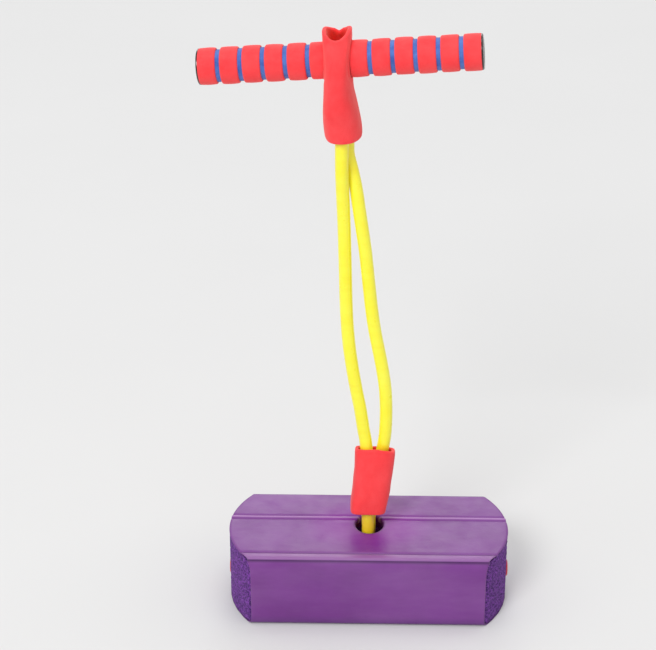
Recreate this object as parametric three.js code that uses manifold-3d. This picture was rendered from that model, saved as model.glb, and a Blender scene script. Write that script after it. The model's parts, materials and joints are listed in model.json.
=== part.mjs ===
// Child's foam jumper: a foam block to stand on, a looped bungee cord and a foam-gripped handlebar.
// Millimetres. +Z is up, +X runs along the block and -Y is its front.
// The origin is the middle of the block's underside.
import * as THREE from "three";
import { mergeVertices } from "three/addons/utils/BufferGeometryUtils.js";
import Module from "manifold-3d";

const wasm = await Module();
wasm.setup();

// Driving dimensions.
const FIT_GAP = 0.3;
const CUT_EXTRA = 10;
const EDGE_BREAK = { small: 0.8, large: 1.2 };

const BLOCK_LENGTH = 279;
const BLOCK_DEPTH = 122;
const BLOCK_HEIGHT = 77;
const BLOCK_END_RADIUS = 90;
const BLOCK_EDGE_RADIUS = 5;
const WRAP_THICKNESS = 2;
const SEAM_RIB = { y: 16, width: 4, height: 1 };
const FRONT_ROLL = { width: 11, height: 0.8, setback: 3.2, undercut: 2.1 };
const FRONT_CORNER = { radius: 11, fade: 17 };

const CORD_RADIUS = 6.2;
const CORD_SIDES = 10;
const CORD_Y = 5;
const WELL = { radius: 19.5, floor: 6.5, shoulder: 67 };
const MOUTH = { y: 5.4, radius: 14.4, depth: 4, dimpleRadius: 34 };

const ROD = { radius: 6, bore: 4, z: 26, length: 262 };
const PLUG = { radius: 8.5, proud: 1.5, spigot: 12 };
const SQUEAKER = { x: 75, radius: 20, height: 15, wall: 1.2, reedRadius: 5, reedHeight: 8 };

const BAR_CENTRE = new THREE.Vector3(-31, CORD_Y, 573.5);
const BAR_TILT = THREE.MathUtils.degToRad(4);
const BAR_YAW = THREE.MathUtils.degToRad(4);
const BAR_SLOPE = THREE.MathUtils.degToRad(1.25);
const BAR_SHIFT = 0.9;
const BAR_TUBE = { radius: 8, bore: 6.2, length: 254 };
const GRIP = { start: 9.4, pitch: 20.3, rings: 6, linerRadius: 14.6 };
const GRIP_RING = { width: 16.4, radius: 16.7, edge: 1.4 };
const CAP = { radius: 16.2, thickness: 1.8, spigot: 14 };

const UPPER_WALL = 4;
const UPPER_HOLE_REACH = 30;
const LOWER_WALL = 3.6;
const LOOP_CLEARANCE = 0.4;
const STRAND_OFFSET = 6.6;
const STRAND_BOTTOM = 72;
const STRAND_TOP = 486;
const RISER_TOP = -30;
const STRAIGHT_END = 6;
const BINDING = { x: 0.9, low: 101, high: 109, halfWidth: 10.4, halfDepth: 14.4, wall: 1.2 };

// Materials.
function material(color, roughness, metalness = 0) {
  return new THREE.MeshStandardMaterial({ color, roughness, metalness });
}

const wrapPurple = material(0x8a4f9c, 0.45);
const corePurple = material(0x5b3183, 0.95);
const gripRed = material(0xf2484f, 0.8);
const gripBlue = material(0x2f5fc4, 0.8);
const latexYellow = material(0xf0cf35, 0.4);
const plugRed = material(0xd93645, 0.4);
const capBlack = material(0x1c1c22, 0.25);
const tubeWhite = material(0xe8e8e4, 0.5);
const steelGrey = material(0x9a9da2, 0.35, 0.9);

// Solids: three.js geometry in, three.js geometry out, joined and cut as closed solids.
function toSolid(geometry) {
  const bare = geometry.index ? geometry.toNonIndexed() : geometry.clone();
  bare.deleteAttribute("normal");
  bare.deleteAttribute("uv");
  const merged = mergeVertices(bare, 1e-4);
  const vertProperties = new Float32Array(merged.attributes.position.array);
  const triVerts = new Uint32Array(merged.index.array);
  return new wasm.Manifold(new wasm.Mesh({ numProp: 3, vertProperties, triVerts }));
}

function toGeometry(solid) {
  const mesh = solid.getMesh();
  const geometry = new THREE.BufferGeometry();
  geometry.setAttribute("position", new THREE.BufferAttribute(new Float32Array(mesh.vertProperties), 3));
  geometry.setIndex(new THREE.BufferAttribute(new Uint32Array(mesh.triVerts), 1));
  geometry.computeVertexNormals();
  return geometry;
}

function cut(geometry, ...tools) {
  return toGeometry(tools.reduce((solid, tool) => solid.subtract(toSolid(tool)), toSolid(geometry)));
}

function common(geometry, other) {
  return toGeometry(toSolid(geometry).intersect(toSolid(other)));
}

// Revolved solids. A profile is a list of [radius, height] going up its outside.
function latheZ(profile, segments = 32) {
  const points = profile.map(([radius, height]) => new THREE.Vector2(radius, height));
  const geometry = new THREE.LatheGeometry(points, segments);
  geometry.rotateX(Math.PI / 2);
  return geometry;
}

function latheX(profile, segments = 24) {
  const geometry = latheZ(profile, segments);
  geometry.rotateY(Math.PI / 2);
  return geometry;
}

function pipeX(outer, inner, x0, x1, segments = 24) {
  return latheX([[inner, x0], [outer, x0], [outer, x1], [inner, x1], [inner, x0]], segments);
}

function rodX(radius, x0, x1, segments = 24) {
  return latheX([[0, x0], [radius, x0], [radius, x1], [0, x1]], segments);
}

// A YZ section drawn as a shape, run along X.
function alongX(shape, length) {
  const options = { depth: length, bevelEnabled: false, curveSegments: 5 };
  const geometry = new THREE.ExtrudeGeometry(shape, options);
  geometry.translate(0, 0, -length / 2);
  const basis = new THREE.Matrix4().makeBasis(
    new THREE.Vector3(0, 1, 0),
    new THREE.Vector3(0, 0, 1),
    new THREE.Vector3(1, 0, 0),
  );
  return geometry.applyMatrix4(basis);
}

// A round cord along hand-placed points.
function cord(points, steps) {
  const circle = new THREE.Shape();
  for (let i = 0; i < CORD_SIDES; i += 1) {
    const angle = (2 * Math.PI * i) / CORD_SIDES;
    const x = CORD_RADIUS * Math.cos(angle);
    const y = CORD_RADIUS * Math.sin(angle);
    if (i === 0) circle.moveTo(x, y);
    else circle.lineTo(x, y);
  }
  const path = new THREE.CatmullRomCurve3(points, false, "centripetal");
  return new THREE.ExtrudeGeometry(circle, { steps, bevelEnabled: false, extrudePath: path });
}

// A foam sleeve: oval rings up its outside, the same rings down its inside, one wall thick.
// Each ring has its centre, half width, half depth, a boxiness of 2 for an ellipse, and a slant and dip.
function sleeve(rings, wall, sides = 28) {
  const loops = [];
  for (const inset of [0, wall]) {
    const ordered = inset ? [...rings].reverse() : rings;
    for (const ring of ordered) {
      const loop = [];
      for (let i = 0; i < sides; i += 1) {
        const angle = (2 * Math.PI * i) / sides;
        const c = Math.cos(angle);
        const s = Math.sin(angle);
        const power = 2 / ring.boxy;
        const x = ring.x + (ring.halfWidth - inset) * Math.sign(c) * Math.abs(c) ** power;
        const y = ring.y + (ring.halfDepth - inset) * Math.sign(s) * Math.abs(s) ** power;
        const z = ring.z + (ring.slant ?? 0) * s - (ring.dip ?? 0) * s * s;
        loop.push([x, y, z]);
      }
      loops.push(loop);
    }
  }
  const positions = loops.flat(2);
  const index = [];
  for (let row = 0; row < loops.length; row += 1) {
    const next = (row + 1) % loops.length;
    for (let i = 0; i < sides; i += 1) {
      const j = (i + 1) % sides;
      const [a, b, c, d] = [row * sides + i, row * sides + j, next * sides + j, next * sides + i];
      index.push(a, b, c, a, c, d);
    }
  }
  const geometry = new THREE.BufferGeometry();
  geometry.setAttribute("position", new THREE.Float32BufferAttribute(positions, 3));
  geometry.setIndex(index);
  geometry.computeVertexNormals();
  return geometry;
}

// The block, seen from above: long straight sides and broad rounded ends.
function blockPlan() {
  const half = BLOCK_DEPTH / 2 + CUT_EXTRA;
  const centre = BLOCK_LENGTH / 2 - BLOCK_END_RADIUS;
  const angle = Math.asin(half / BLOCK_END_RADIUS);
  const plan = new THREE.Shape();
  plan.absarc(centre, 0, BLOCK_END_RADIUS, -angle, angle, false);
  plan.absarc(-centre, 0, BLOCK_END_RADIUS, Math.PI - angle, Math.PI + angle, false);
  const depth = BLOCK_HEIGHT + 2 * CUT_EXTRA;
  const geometry = new THREE.ExtrudeGeometry(plan, { depth, bevelEnabled: false, curveSegments: 16 });
  geometry.translate(0, 0, -CUT_EXTRA);
  return geometry;
}

function wrapOutline() {
  const half = BLOCK_DEPTH / 2;
  const edge = BLOCK_EDGE_RADIUS;
  const top = BLOCK_HEIGHT;
  const rollFront = -half + FRONT_ROLL.setback;
  const rollBack = rollFront + FRONT_ROLL.width;
  const undercut = top - FRONT_ROLL.undercut;
  const outline = new THREE.Shape();
  outline.absarc(-half + edge, edge, edge, Math.PI, 1.5 * Math.PI, false);
  outline.absarc(half - edge, edge, edge, -0.5 * Math.PI, 0, false);
  outline.absarc(half - edge, top - edge, edge, 0, 0.5 * Math.PI, false);
  outline.lineTo(SEAM_RIB.y + SEAM_RIB.width / 2, top);
  outline.quadraticCurveTo(SEAM_RIB.y, top + 2 * SEAM_RIB.height, SEAM_RIB.y - SEAM_RIB.width / 2, top);
  outline.lineTo(rollBack, top);
  outline.quadraticCurveTo((rollBack + rollFront) / 2, top + 2 * FRONT_ROLL.height, rollFront + 1, top);
  outline.lineTo(rollFront, top - 1);
  outline.lineTo(rollFront + 0.4, undercut);
  outline.quadraticCurveTo(-half + 0.3, undercut - 3.9, -half, top - FRONT_CORNER.fade);
  return outline;
}

function insetOutline(inset, PathClass) {
  const half = BLOCK_DEPTH / 2 - inset;
  const low = inset;
  const high = BLOCK_HEIGHT - inset;
  const edge = BLOCK_EDGE_RADIUS - inset;
  const front = FRONT_CORNER.radius - inset;
  const outline = new PathClass();
  outline.absarc(-half + edge, low + edge, edge, Math.PI, 1.5 * Math.PI, false);
  outline.absarc(half - edge, low + edge, edge, -0.5 * Math.PI, 0, false);
  outline.absarc(half - edge, high - edge, edge, 0, 0.5 * Math.PI, false);
  outline.absarc(-half + front, high - front, front, 0.5 * Math.PI, Math.PI, false);
  return outline;
}

// The cord's blind well, and its narrower mouth with a soft dimple round it.
function wellCutter() {
  const well = latheZ([
    [0, WELL.floor],
    [WELL.radius, WELL.floor],
    [WELL.radius, WELL.shoulder],
    [0, WELL.shoulder],
  ]);
  well.translate(0, CORD_Y, 0);
  const lip = BLOCK_HEIGHT - MOUTH.depth;
  const mouth = latheZ([
    [0, WELL.shoulder - 1],
    [MOUTH.radius, WELL.shoulder - 1],
    [MOUTH.radius, lip],
    [MOUTH.radius + 4, lip + 1.8],
    [MOUTH.dimpleRadius, BLOCK_HEIGHT + FIT_GAP],
    [MOUTH.dimpleRadius, BLOCK_HEIGHT + CUT_EXTRA],
    [0, BLOCK_HEIGHT + CUT_EXTRA],
  ]);
  mouth.translate(0, MOUTH.y, 0);
  return [well, mouth];
}

function foamWrap() {
  const section = wrapOutline();
  section.holes.push(insetOutline(WRAP_THICKNESS, THREE.Path));
  return cut(common(alongX(section, 2 * BLOCK_LENGTH), blockPlan()), ...wellCutter());
}

function foamCore() {
  const section = insetOutline(WRAP_THICKNESS + FIT_GAP, THREE.Shape);
  const body = common(alongX(section, 2 * BLOCK_LENGTH), blockPlan());
  const rodBore = rodX(ROD.radius + FIT_GAP, -BLOCK_LENGTH, BLOCK_LENGTH);
  rodBore.translate(0, CORD_Y, ROD.z);
  const plugStart = ROD.length / 2;
  const plugSeats = [0, Math.PI].map((turn) => {
    const seat = rodX(PLUG.radius + FIT_GAP, plugStart, BLOCK_LENGTH);
    seat.rotateZ(turn);
    seat.translate(0, CORD_Y, ROD.z);
    return seat;
  });
  const pocket = latheZ([
    [0, 0],
    [SQUEAKER.radius + FIT_GAP, 0],
    [SQUEAKER.radius + FIT_GAP, WRAP_THICKNESS + SQUEAKER.height + 2 * FIT_GAP],
    [0, WRAP_THICKNESS + SQUEAKER.height + 2 * FIT_GAP],
  ]);
  pocket.translate(SQUEAKER.x, CORD_Y, 0);
  return cut(body, ...wellCutter(), rodBore, ...plugSeats, pocket);
}

// The rod that the cord loops under, and the plugs that close its ends.
function anchorRod() {
  const rod = pipeX(ROD.radius, ROD.bore, -ROD.length / 2, ROD.length / 2);
  rod.translate(0, CORD_Y, ROD.z);
  return rod;
}

function rodPlug(side) {
  const face = BLOCK_LENGTH / 2 + PLUG.proud;
  const seat = ROD.length / 2 + FIT_GAP;
  const plug = latheX([
    [0, seat - PLUG.spigot],
    [ROD.bore - FIT_GAP, seat - PLUG.spigot],
    [ROD.bore - FIT_GAP, seat],
    [PLUG.radius, seat],
    [PLUG.radius, face - EDGE_BREAK.large],
    [PLUG.radius - EDGE_BREAK.large, face],
    [0, face],
  ]);
  if (side < 0) plug.rotateZ(Math.PI);
  plug.translate(0, CORD_Y, ROD.z);
  return plug;
}

// The squeaker: a thin bellows cup with a vent in its top, and the reed that sits in the vent.
function squeakerShell() {
  const base = WRAP_THICKNESS + FIT_GAP;
  const top = base + SQUEAKER.height;
  const inner = SQUEAKER.radius - SQUEAKER.wall;
  const vent = SQUEAKER.reedRadius + FIT_GAP;
  const shell = latheZ([
    [0, base],
    [SQUEAKER.radius, base],
    [SQUEAKER.radius - 2, base + SQUEAKER.height / 2],
    [SQUEAKER.radius, top],
    [vent, top],
    [vent, top - SQUEAKER.wall],
    [inner, top - SQUEAKER.wall],
    [inner - 2, base + SQUEAKER.height / 2],
    [inner, base + SQUEAKER.wall],
    [0, base + SQUEAKER.wall],
  ]);
  shell.translate(SQUEAKER.x, CORD_Y, 0);
  return shell;
}

function squeakerReed() {
  const top = WRAP_THICKNESS + FIT_GAP + SQUEAKER.height;
  const reed = latheZ([
    [1.5, top - SQUEAKER.reedHeight],
    [SQUEAKER.reedRadius, top - SQUEAKER.reedHeight],
    [SQUEAKER.reedRadius, top],
    [1.5, top],
    [1.5, top - SQUEAKER.reedHeight],
  ], 16);
  reed.translate(SQUEAKER.x, CORD_Y, 0);
  return reed;
}

// The cord is one closed loop, named in stretches: under the rod, two strands, two risers, over the bar.
function bend(radius, y, z, from, to, steps) {
  const points = [];
  for (let i = 0; i <= steps; i += 1) {
    const angle = from + ((to - from) * i) / steps;
    points.push(new THREE.Vector3(0, y + radius * Math.cos(angle), z + radius * Math.sin(angle)));
  }
  return points;
}

function lowerLoop() {
  const radius = ROD.radius + LOOP_CLEARANCE + CORD_RADIUS;
  const top = STRAND_BOTTOM - FIT_GAP;
  const leg = (x, side) => [
    new THREE.Vector3(x, CORD_Y + side * STRAND_OFFSET, top),
    new THREE.Vector3(x, CORD_Y + side * STRAND_OFFSET, top - STRAIGHT_END),
    new THREE.Vector3(x / 2, CORD_Y + side * 9.4, 48),
  ];
  const turn = bend(radius, CORD_Y, ROD.z, Math.PI, 2 * Math.PI, 8);
  return cord([...leg(-0.6, -1), ...turn, ...leg(0.8, 1).reverse()], 26);
}

// Route of each strand: [x, distance in front of or behind the cord's plane, z], from the well upwards.
const LEFT_STRAND = [
  [-0.6, -6.6, STRAND_BOTTOM], [-0.6, -6.6, 79], [-1.4, -6.6, 100], [-1.6, -5.8, 125], [-1.7, -2.8, 150],
  [-4.0, -0.3, 176], [-5.9, 0, 187], [-9.2, 0, 210], [-13.2, 0, 232], [-17, 0, 255], [-20, 0, 277],
  [-22, 0, 298], [-23.3, 0, 320], [-24, 0, 341], [-24.5, 0, 362], [-25.1, 0, 383], [-25.7, 0, 404],
  [-26.5, -0.8, 425], [-27.4, -2.8, 446], [-28, -5.4, 464], [-28.2, -6.8, 479], [-28.2, -6.8, STRAND_TOP],
];
const RIGHT_STRAND = [
  [0.8, 6.6, STRAND_BOTTOM], [0.8, 6.6, 79], [2.2, 6.6, 100], [5.5, 5.8, 125], [10.5, 2.8, 150],
  [14.4, 0.3, 176], [15.4, 0, 187], [15.8, 0, 210], [14.8, 0, 232], [11.8, 0, 255], [7.8, 0, 277],
  [3.9, 0, 298], [0.8, 0, 320], [-1.5, 0, 341], [-3.7, 0, 362], [-5.9, 0, 383], [-8.8, 0, 404],
  [-11.9, 0.8, 425], [-15, 2.8, 446], [-19, 5.4, 464], [-22.6, 6.8, 479], [-22.9, 6.8, STRAND_TOP],
];

function strand(route) {
  return cord(route.map(([x, offset, z]) => new THREE.Vector3(x, CORD_Y + offset, z)), 30);
}

// The yoke is everything that turns with the handle: its frame sits at the middle of the bar.
const yokeFrame = new THREE.Matrix4().compose(
  BAR_CENTRE,
  new THREE.Quaternion().setFromEuler(new THREE.Euler(0, -BAR_TILT, -BAR_YAW, "ZYX")),
  new THREE.Vector3(1, 1, 1),
);
const loopRadius = BAR_TUBE.radius + LOOP_CLEARANCE + CORD_RADIUS;

function riser(route, side) {
  const [x, offset] = route[route.length - 1];
  const inYoke = (y, z) => new THREE.Vector3(0, y, z).applyMatrix4(yokeFrame);
  return cord([
    new THREE.Vector3(x, CORD_Y + offset, STRAND_TOP + FIT_GAP),
    new THREE.Vector3(x, CORD_Y + offset, STRAND_TOP + STRAIGHT_END),
    inYoke(side * 8.6, -62),
    inYoke(side * 12.6, -48),
    inYoke(side * loopRadius, RISER_TOP - STRAIGHT_END),
    inYoke(side * loopRadius, RISER_TOP - FIT_GAP),
  ], 10);
}

function upperLoop() {
  const leg = (side) => [
    new THREE.Vector3(0, side * loopRadius, RISER_TOP),
    new THREE.Vector3(0, side * loopRadius, RISER_TOP / 2),
  ];
  return cord([...leg(-1), ...bend(loopRadius, 0, 0, Math.PI, 0, 8), ...leg(1).reverse()], 24);
}

// Rings of the sleeve over the handlebar, in the yoke's frame, from its hem to its rim.
function upperSleeve() {
  const ring = (z, x, halfWidth, halfDepth, extra = {}) => (
    { x, y: 0, z, halfWidth, halfDepth, boxy: 3, ...extra }
  );
  const body = sleeve([
    ring(-75, -0.8, 15.8, 18.6, { boxy: 2.5 }),
    ring(-71.5, -0.8, 17, 19.8, { boxy: 2.5 }),
    ring(-64, -1, 17.2, 20.6, { boxy: 2.5 }),
    ring(-54, -1.6, 16.2, 22.8),
    ring(-43, -1.3, 14.8, 25.6),
    ring(-30, -0.4, 13, 27.2),
    ring(-14, -0.2, 12.3, 27.8),
    ring(2, 0, 12.2, 27.6),
    ring(14, 0, 12.4, 25.5, { dip: 2 }),
    ring(27.5, 0, 13, 20.5, { boxy: 2.2, slant: -1.5, dip: 6.5 }),
    ring(29.5, 0, 12.2, 19.6, { boxy: 2.2, slant: -1.5, dip: 6.5 }),
  ], UPPER_WALL);
  const hole = rodX(GRIP_RING.radius + 2 * FIT_GAP, -UPPER_HOLE_REACH, UPPER_HOLE_REACH, 32);
  hole.rotateY(-BAR_SLOPE);
  return cut(body, hole);
}

// Rings of the sleeve that gathers the strands above the block, from its hem to its rim.
function lowerSleeve() {
  const ring = (z, x, halfWidth, halfDepth, extra = {}) => (
    { x, y: CORD_Y, z, halfWidth, halfDepth, boxy: 2.8, ...extra }
  );
  return sleeve([
    ring(96, -0.5, 16.6, 19),
    ring(99, -0.2, 17.3, 19.3),
    ring(106, 0.5, 18, 19),
    ring(118, 2, 18.8, 18.2),
    ring(130, 3.1, 19, 16.8),
    ring(142, 4.3, 19.3, 15),
    ring(154, 5.1, 19.6, 13.8, { slant: -1 }),
    ring(164, 5.4, 19.8, 12.8, { slant: -3 }),
    ring(166.5, 5.4, 18.8, 12.4, { slant: -3 }),
  ], LOWER_WALL);
}

// The band that closes the cord's loop, hidden in the lower sleeve.
function cordBinding() {
  const { x, halfWidth, halfDepth } = BINDING;
  const ring = (z) => ({ x, y: CORD_Y, z, halfWidth, halfDepth, boxy: 3.4 });
  return sleeve([ring(BINDING.low), ring(BINDING.high)], BINDING.wall, 24);
}

// Handlebar pieces, along the bar's own axis from its middle.
function gripRing(start) {
  const inner = GRIP.linerRadius + FIT_GAP;
  const outer = GRIP_RING.radius;
  const edge = GRIP_RING.edge;
  const end = start + GRIP_RING.width;
  return latheX([
    [inner, start],
    [outer - edge, start],
    [outer, start + edge],
    [outer, end - edge],
    [outer - edge, end],
    [inner, end],
    [inner, start],
  ]);
}

function gripEnd() {
  return GRIP.start + (GRIP.rings - 1) * GRIP.pitch + GRIP_RING.width;
}

function handleTube() {
  return pipeX(BAR_TUBE.radius, BAR_TUBE.bore, -BAR_TUBE.length / 2, BAR_TUBE.length / 2);
}

function endCap() {
  const start = gripEnd() + FIT_GAP;
  const end = start + CAP.thickness;
  const spigot = BAR_TUBE.bore - FIT_GAP;
  return latheX([
    [0, start - CAP.spigot],
    [spigot, start - CAP.spigot],
    [spigot, start],
    [CAP.radius, start],
    [CAP.radius, end - EDGE_BREAK.small],
    [CAP.radius - EDGE_BREAK.small, end],
    [0, end],
  ]);
}

const jumper = new THREE.Group();
const yoke = new THREE.Group();
yoke.applyMatrix4(yokeFrame);
jumper.add(yoke);
const handlebar = new THREE.Group();
handlebar.rotation.y = -BAR_SLOPE;
handlebar.translateX(BAR_SHIFT);
yoke.add(handlebar);

function add(parent, name, geometry, finish) {
  const mesh = new THREE.Mesh(geometry, finish);
  mesh.name = name;
  parent.add(mesh);
}

add(jumper, "foam_wrap", foamWrap(), wrapPurple);
add(jumper, "foam_core", foamCore(), corePurple);
add(jumper, "anchor_rod", anchorRod(), steelGrey);
add(jumper, "rod_plug_left", rodPlug(-1), plugRed);
add(jumper, "rod_plug_right", rodPlug(1), plugRed);
add(jumper, "squeaker_shell", squeakerShell(), tubeWhite);
add(jumper, "squeaker_reed", squeakerReed(), tubeWhite);
add(jumper, "bungee_lower_loop", lowerLoop(), latexYellow);
add(jumper, "bungee_left_strand", strand(LEFT_STRAND), latexYellow);
add(jumper, "bungee_right_strand", strand(RIGHT_STRAND), latexYellow);
add(jumper, "bungee_left_riser", riser(LEFT_STRAND, -1), latexYellow);
add(jumper, "bungee_right_riser", riser(RIGHT_STRAND, 1), latexYellow);
add(jumper, "cord_binding", cordBinding(), capBlack);
add(jumper, "lower_sleeve", lowerSleeve(), gripRed);

add(yoke, "bungee_upper_loop", upperLoop(), latexYellow);
add(yoke, "upper_sleeve", upperSleeve(), gripRed);
add(handlebar, "handle_tube", handleTube(), tubeWhite);
for (const [hand, turn] of [["left", Math.PI], ["right", 0]]) {
  const half = new THREE.Group();
  half.rotation.z = turn;
  handlebar.add(half);
  const liner = pipeX(GRIP.linerRadius, BAR_TUBE.radius + FIT_GAP, GRIP.start, gripEnd());
  add(half, `${hand}_grip_liner`, liner, gripBlue);
  for (let i = 0; i < GRIP.rings; i += 1) {
    add(half, `${hand}_grip_ring_${i + 1}`, gripRing(GRIP.start + i * GRIP.pitch), gripRed);
  }
  add(half, `${hand}_end_cap`, endCap(), capBlack);
}

export default jumper;
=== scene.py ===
"""Looks of the foam jumper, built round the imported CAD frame. Metres, in the frame's own axes."""
import json
import math

import bmesh
import bpy
import numpy as np
from mathutils import Matrix, Vector, noise


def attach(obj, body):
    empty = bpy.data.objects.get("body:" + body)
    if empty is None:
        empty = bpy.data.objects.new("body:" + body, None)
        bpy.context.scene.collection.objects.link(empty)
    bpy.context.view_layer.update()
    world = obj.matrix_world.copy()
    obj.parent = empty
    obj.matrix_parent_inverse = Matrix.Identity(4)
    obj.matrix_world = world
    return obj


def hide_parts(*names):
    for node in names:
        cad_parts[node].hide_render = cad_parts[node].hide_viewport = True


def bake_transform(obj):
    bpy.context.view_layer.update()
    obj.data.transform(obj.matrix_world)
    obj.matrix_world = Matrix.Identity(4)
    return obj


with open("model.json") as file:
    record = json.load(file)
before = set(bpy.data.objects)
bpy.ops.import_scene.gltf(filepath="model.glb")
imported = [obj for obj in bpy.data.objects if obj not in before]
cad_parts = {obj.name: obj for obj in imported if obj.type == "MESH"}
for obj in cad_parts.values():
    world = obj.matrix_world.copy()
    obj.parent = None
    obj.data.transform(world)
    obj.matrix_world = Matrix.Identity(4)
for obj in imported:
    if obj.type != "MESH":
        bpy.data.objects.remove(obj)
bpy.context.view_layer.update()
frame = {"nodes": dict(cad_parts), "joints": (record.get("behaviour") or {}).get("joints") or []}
joints = {joint["name"]: joint for joint in frame["joints"]}

# ---------------------------------------------------------------- driving dimensions
MM = 0.001
BLOCK_LENGTH = 0.279
BLOCK_HALF_DEPTH = 0.061
BLOCK_TOP = 0.077
BLOCK_END_RADIUS = 0.090
BLOCK_EDGE = 0.005
SKIN = 0.002
RIB_Y = 0.016
ROLL_CREASE_Y = -0.0468
ROLL_MIDDLE_Y = -0.0532
ROLL_FRONT_Y = -0.0558
CORD_Y = 0.005
CORD_RADIUS = 0.0062
MOUTH_X = 0.0008
MOUTH_Y = 0.0053
MOUTH_RADIUS = 0.0156
MOUTH_SQUASH = 0.88
MOUTH_LIP = 0.0022
DIMPLE_RADIUS = 0.036
WELL_RADIUS = 0.0195
WELL_FLOOR = 0.0065
ROD_Z = 0.026
ROD_BORE = 0.0063
PLUG_RADIUS = 0.0085
PLUG_ROUND = 0.0016
PLUG_START = 0.1313
SPIGOT_LENGTH = 0.012
SPIGOT_RADIUS = 0.0037
SEAT_START = 0.131
SEAT_RADIUS = 0.0088
SQUEAKER_X = 0.075
POCKET_HEIGHT = 0.0176
POCKET_RADIUS = 0.0203
BAR_RADIUS = 0.008
CAP_ROUND = 0.0016
LOOP_RADIUS = BAR_RADIUS + 0.0004 + CORD_RADIUS
SLEEVE_HOLE = 0.0173
UPPER_WALL = 0.0038
LOWER_WALL = 0.0033
# How close two points of a cut mesh may be before they are joined.
AFTER_CUT = 2e-5
# A cutter reaches this far, well past the block.
PAST_BLOCK = 0.2

YOKE_ORIGIN = Vector(joints["bar_roll"]["pos_m"])
BAR_AXIS = Vector(joints["bar_roll"]["axis"]).normalized()
YOKE_UP = Vector(joints["handle_twist"]["axis"]).normalized()
YOKE_BACK = YOKE_UP.cross(BAR_AXIS).normalized()


def upright_frame(across, up):
    """A frame at the middle of the bar from its X and Z directions."""
    turn = Matrix((across, YOKE_BACK, up)).transposed().to_4x4()
    return Matrix.Translation(YOKE_ORIGIN) @ turn


YOKE_FRAME = upright_frame(YOKE_BACK.cross(YOKE_UP), YOKE_UP)
BAR_FRAME = upright_frame(BAR_AXIS, BAR_AXIS.cross(YOKE_BACK))

# ---------------------------------------------------------------- camera
CAMERA_TARGET = Vector((-0.0407, 0.0, 0.3065))
CAMERA_DISTANCE = 2.0
CAMERA_AZIMUTH = math.radians(1.16)
CAMERA_ELEVATION = math.radians(28.5)
CAMERA_LENS = 115.5


def add_camera():
    back = Vector((
        math.sin(CAMERA_AZIMUTH) * math.cos(CAMERA_ELEVATION),
        -math.cos(CAMERA_AZIMUTH) * math.cos(CAMERA_ELEVATION),
        math.sin(CAMERA_ELEVATION),
    ))
    data = bpy.data.cameras.new("camera")
    data.lens = CAMERA_LENS
    data.sensor_width = 36
    data.clip_end = 50
    camera = bpy.data.objects.new("camera", data)
    camera.location = CAMERA_TARGET + back * CAMERA_DISTANCE
    camera.rotation_euler = back.to_track_quat("Z", "Y").to_euler()
    bpy.context.scene.collection.objects.link(camera)
    bpy.context.scene.camera = camera


# ---------------------------------------------------------------- mesh helpers
def make_object(name, vertices, faces, material=None):
    mesh = bpy.data.meshes.new(name)
    mesh.from_pydata([tuple(v) for v in vertices], [], faces)
    mesh.validate()
    mesh.update()
    mesh.shade_smooth()
    piece = bpy.data.objects.new(name, mesh)
    bpy.context.scene.collection.objects.link(piece)
    if material:
        mesh.materials.append(material)
    return piece


def tidy_mesh(piece, merge=1e-6, close=False):
    """Joins coincident points and turns faces outwards; close also fills gaps left by a cut."""
    work = bmesh.new()
    work.from_mesh(piece.data)
    bmesh.ops.remove_doubles(work, verts=work.verts, dist=merge)
    if close:
        bmesh.ops.dissolve_degenerate(work, edges=work.edges, dist=merge)
        gaps = [edge for edge in work.edges if edge.is_boundary]
        bmesh.ops.holes_fill(work, edges=gaps, sides=0)
    bmesh.ops.recalc_face_normals(work, faces=work.faces)
    work.to_mesh(piece.data)
    work.free()
    piece.data.shade_smooth()


def apply_modifiers(piece):
    depsgraph = bpy.context.evaluated_depsgraph_get()
    mesh = bpy.data.meshes.new_from_object(piece.evaluated_get(depsgraph))
    piece.modifiers.clear()
    old = piece.data
    piece.data = mesh
    bpy.data.meshes.remove(old)


def cut_with(piece, cutter):
    """Boolean difference, applied, with the cutter removed."""
    modifier = piece.modifiers.new("cut", "BOOLEAN")
    modifier.operation = "DIFFERENCE"
    modifier.solver = "EXACT"
    modifier.object = cutter
    apply_modifiers(piece)
    bpy.data.objects.remove(cutter)


def sharpen(piece, degrees=40):
    """Marks hard edges so that flat faces stay flat beside round ones."""
    piece.data.set_sharp_from_angle(angle=math.radians(degrees))


def loop_faces(rows, sides, closed_rows=False):
    """Quads between rows of points that each run right round."""
    faces = []
    last = rows if closed_rows else rows - 1
    for row in range(last):
        nxt = (row + 1) % rows
        for i in range(sides):
            j = (i + 1) % sides
            faces.append((row * sides + i, row * sides + j, nxt * sides + j, nxt * sides + i))
    return faces


def turned(name, profile, material, place, sides=72):
    """A solid of revolution about its own X axis; a profile is [(x, radius), ...] from axis to axis."""
    vertices = []
    for x, radius in profile:
        for i in range(sides):
            angle = 2 * math.pi * i / sides
            vertices.append(place @ Vector((x, radius * math.cos(angle), radius * math.sin(angle))))
    closed = profile[0][1] > 1e-6
    faces = loop_faces(len(profile), sides, closed_rows=closed)
    piece = make_object(name, vertices, faces, material)
    tidy_mesh(piece)
    return piece


def cylinder(name, start, end, radius, place, sides=72):
    """A plain cylinder along its own X axis, for cutting."""
    return turned(name, [(start, 0), (start, radius), (end, radius), (end, 0)], None, place, sides)


def arc(cx, cy, radius, start, end, steps):
    """Points of an arc, angles in degrees."""
    points = []
    for i in range(steps + 1):
        angle = math.radians(start + (end - start) * i / steps)
        points.append((cx + radius * math.cos(angle), cy + radius * math.sin(angle)))
    return points


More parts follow.
